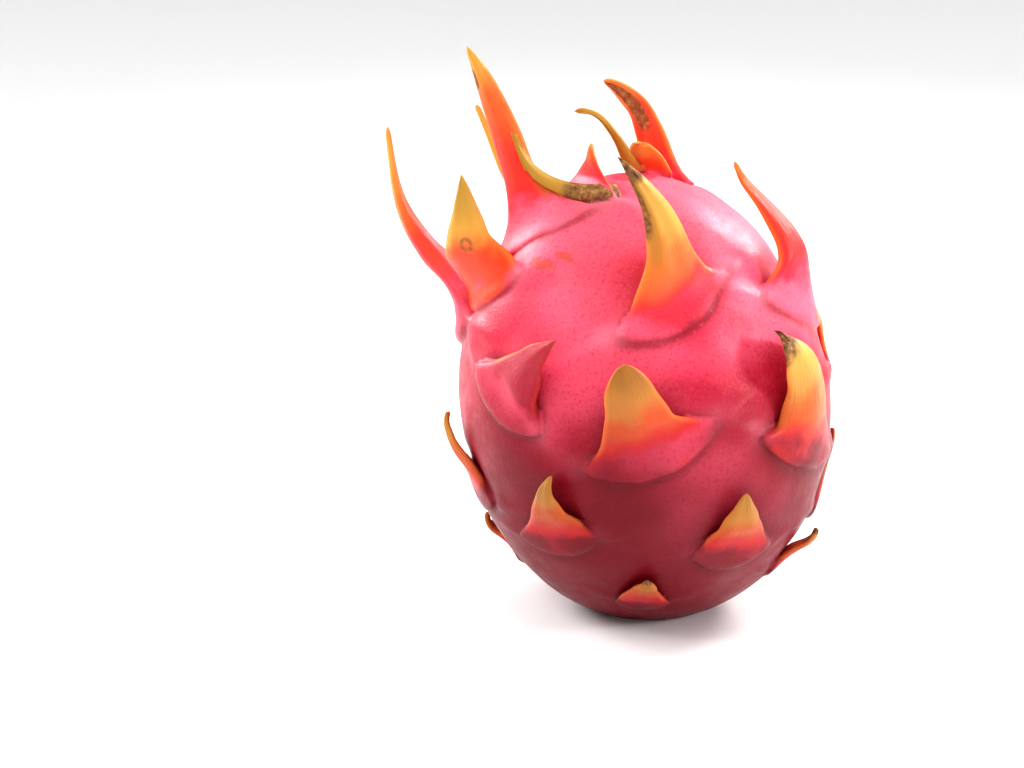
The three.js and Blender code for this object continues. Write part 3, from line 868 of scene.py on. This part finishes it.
# On front_long the olive band is partly colour and partly painted shade on the shaded facet of its fold.
tongue = n.mix(n.times(n.attribute("facet"), 0.75), tongue, OLIVE)
tongue = n.mix(n.times(n.step(grown, 0.50, 0.85), n.attribute("green")), tongue, GREEN)
rim_band = n.times(n.attribute("rim"), n.step(n.attribute("along"), 0.02, 0.2), clamp=True)
tongue = n.mix(n.times(rim_band, 0.7), tongue, RIM_ORANGE)
tongue = n.mix(n.times(n.attribute("inner"), 0.55), tongue, INNER_RED)
# Painted shade, partly own colour: the marked scales are mixed towards dark crimson.
tongue = n.mix(n.attribute("deep_and_shade"), tongue, n.mix(rim_band, DEEP_SHADE_RED, DEEP_SHADE_RIM))
print("scales: pink, red, orange, yellow, and green where the scale has it")

# %% Scales on the skin
reach = n.math("MAXIMUM", n.times(n.minus(0.45, n.attribute("ripe")), 0.4), -0.04)
scale_part = n.times(n.attribute("on_scale"), n.step(n.plus(along_uneven, reach), 0.0, 0.16))
# Lower down the scales are mixed towards crimson as well: partly their deeper colour, partly painted shade.
tongue = n.mix(n.times(low_deeper_and_shaded, 0.7), tongue, n.mix(0.75, tongue, CRIMSON_AND_SHADE))
colour = n.mix(scale_part, skin_colour, tongue)
print("the scale's colour starts where its root leaves the skin")

# %% Dry tips and brown marks
BARK = [(0.30, (0.045, 0.016, 0.010)), (0.50, (0.20, 0.085, 0.030)), (0.70, (0.42, 0.25, 0.10))]
BLEMISH = grids["left_front"][0][27, 27]       # a ring on the left front scale, about 1 mm in radius
dry_edge = n.minus(along_uneven, n.minus(1.0, n.attribute("dry")))
dry_part = n.times(n.step(dry_edge, -0.05, 0.04), n.attribute("on_scale"))
blotch = n.noise(420, 4.0, 0.65)
mark = n.step(n.plus(n.attribute("stain"), n.times(blotch, 0.5)), 0.50, 0.95)
ring = n.minus(n.spot(BLEMISH, (1, 1, 1)), n.plus(0.9, n.times(mottle, 0.9)))
mark = n.math("MAXIMUM", mark, n.step(n.math("ABSOLUTE", ring), 0.85, 0.10, 0.0, 0.75))
brown = n.ramp(n.noise(700, 4.0, 0.7), BARK)
dry_part = n.math("MAXIMUM", dry_part, n.times(mark, 0.85))
colour = n.mix(dry_part, colour, brown)
print("dry brown where dry and stain say so")

# %% Gloss and relief
FIBRE_WAVES = (1.6, 0.10, 0.0)                 # per mm across and along a scale
BUMP_STRENGTH, BUMP_DISTANCE = 0.45, 0.0006
rough = n.step(n.noise(300, 3.0), 0.3, 0.7, 0.36, 0.48)
rough = n.plus(rough, n.times(dry_part, 0.35))
pores = n.noise(1500, 2.0, 0.6)
fibres = n.noise(1.0, 3.0, 0.6, n.vector("MULTIPLY", n.attribute("leaf", "Vector"), FIBRE_WAVES))
fibres = n.times(fibres, n.step(n.attribute("along"), 0.1, 0.5))
relief = n.plus(n.times(pores, 0.35), n.times(mottle, 0.35))
relief = n.plus(relief, n.times(fibres, 1.1))
relief = n.plus(relief, n.times(n.times(blotch, dry_part), 1.2))
bump = n.add("ShaderNodeBump")
bump.inputs["Strength"].default_value = BUMP_STRENGTH
bump.inputs["Distance"].default_value = BUMP_DISTANCE
n.wire(relief, bump.inputs["Height"])
n.wire(colour, n.shader.inputs["Base Color"])
n.wire(rough, n.shader.inputs["Roughness"])
n.wire(bump.outputs["Normal"], n.shader.inputs["Normal"])
print("satin skin, rougher where dry")

# %% Constants of the shader, and the material on the fruit
CONSTANTS = {"Subsurface Weight": 0.08, "Subsurface Scale": 0.002, "Subsurface Radius": (1.0, 0.25, 0.2),
             "Specular IOR Level": 0.22}
for socket, constant in CONSTANTS.items():
    n.shader.inputs[socket].default_value = constant
joined.polygons.foreach_set("material_index", np.zeros(len(joined.polygons), np.int32))
joined.materials.clear()
joined.materials.append(fruit_finish)
print("one material:", joined.materials[0].name)

# %% [markdown]
# ## Tie the piece to the part
#
# The fruit is one body and stands for the one solid of the imported model.

# %% Ride and replace
fruit.data.name = "dragon_fruit_skin"
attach(fruit, "root")
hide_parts("dragon_fruit")
print("rides on root")

# %% [markdown]
# ## The studio
#
# The fruit stands on a plain pale floor in bright, soft light. A wall behind it would need its own
# lamps, so the floor itself turns up at its edge, as it does in a studio. A broad lamp overhead lights
# all of it, and small ones on each side and behind give the fruit its form and its long pale edges.

# %% Floor and room light
FLAT, BEND, BRIM = 2.2, 0.9, 2.8    # radius of the flat part, radius of the curve up, height of the edge: m
FLOOR_SIDES = 96
PALE, ROOM_LIGHT = (0.86, 0.86, 0.86, 1), (1.0, 0.99, 0.985, 1)
quarter = np.linspace(0, np.pi / 2, 16)
reach_out = np.concatenate([[0.3, 0.8, 1.2], FLAT + BEND * np.sin(quarter), [FLAT + BEND]])
rise = np.concatenate([[0, 0, 0], BEND * (1 - np.cos(quarter)), [BRIM]])
turn = np.arange(FLOOR_SIDES) / FLOOR_SIDES * 2 * np.pi
east, north = np.outer(reach_out, np.cos(turn)), np.outer(reach_out, np.sin(turn))
rings = np.stack([east, north, rise[:, None] + 0 * turn], -1)
corner = 1 + np.arange(rings.shape[0] * FLOOR_SIDES).reshape(-1, FLOOR_SIDES)
turned_corner = np.roll(corner, -1, 1)
sides = np.stack([corner[:-1], corner[1:], turned_corner[1:], turned_corner[:-1]], -1).reshape(-1, 4)
middle_fan = np.stack([0 * corner[0], corner[0], turned_corner[0]], -1)
floor_mesh = bpy.data.meshes.new("floor")
floor_mesh.from_pydata([(0, 0, 0)] + rings.reshape(-1, 3).tolist(), [], sides.tolist() + middle_fan.tolist())
floor_mesh.polygons.foreach_set("use_smooth", np.ones(len(floor_mesh.polygons), bool))
floor = object_of("floor", floor_mesh, [bpy.data.materials.new("pale_floor")])
floor_finish = Nodes(floor_mesh.materials[0])
floor_finish.shader.inputs["Base Color"].default_value = PALE
floor_finish.shader.inputs["Roughness"].default_value = 0.6
world = bpy.data.worlds.new("studio")
bpy.context.scene.world = world
world.use_nodes = True
world.node_tree.nodes["Background"].inputs["Color"].default_value = ROOM_LIGHT
world.node_tree.nodes["Background"].inputs["Strength"].default_value = 0.14
print("floor %.1f m across, edge %.1f m high" % (2 * (FLAT + BEND), BRIM))

# %% Lamps
FRUIT_MIDDLE = (0, 0, 0.06)
LAMPS = {    # place and target in metres, size in metres, power in watts
    "right_side": ((0.60, -0.20, 0.24), FRUIT_MIDDLE, 0.12, 2.0),
    "left_side": ((-0.40, -0.24, 0.48), FRUIT_MIDDLE, 0.24, 1.3),
    "above": ((0.10, -0.05, 0.70), FRUIT_MIDDLE, 0.40, 0.5),
    "left_behind": ((-0.50, 0.36, 0.30), FRUIT_MIDDLE, 0.25, 3.6),
    "right_behind": ((0.44, 0.34, 0.40), FRUIT_MIDDLE, 0.22, 4.6),
    "ceiling": ((0, 0.2, 2.2), (0, 0.2, 0), 4.2, 61.0),
}


def lamp(name, place, target, size, power):
    """A square soft lamp at place that looks at target."""
    light = bpy.data.lights.new(name, "AREA")
    light.size, light.energy = size, power
    obj = bpy.data.objects.new(name, light)
    obj.location = place
    look = np.array(target) - np.array(place)
    obj.rotation_euler = Vector(look).to_track_quat("-Z", "Y").to_euler()
    obj.visible_camera = False
    bpy.context.scene.collection.objects.link(obj)


for name, settings in LAMPS.items():
    lamp(name, *settings)
print(len(LAMPS), "lamps")

# %% Camera
ELEVATION, DISTANCE, LENS = np.radians(14), 0.70, 98.4
AIM, LEFT, UP = np.array([0, 0, 0.055]), np.array([0.0345, 0, 0]), 0.002    # metres; the fruit is off centre
forward = np.array([0, np.cos(ELEVATION), -np.sin(ELEVATION)])
upward = np.array([0, np.sin(ELEVATION), np.cos(ELEVATION)])
camera_data = bpy.data.cameras.new("camera")
camera_data.lens, camera_data.sensor_width = LENS, 36
camera = bpy.data.objects.new("camera", camera_data)
camera.location = AIM - forward * DISTANCE - LEFT + upward * UP
camera.rotation_euler = (np.pi / 2 - ELEVATION, 0, 0)
bpy.context.scene.collection.objects.link(camera)
bpy.context.scene.camera = camera
bpy.context.scene.view_settings.view_transform = "Standard"
bpy.context.scene.view_settings.look = "Medium High Contrast"
print("camera", np.round(camera.location, 3))
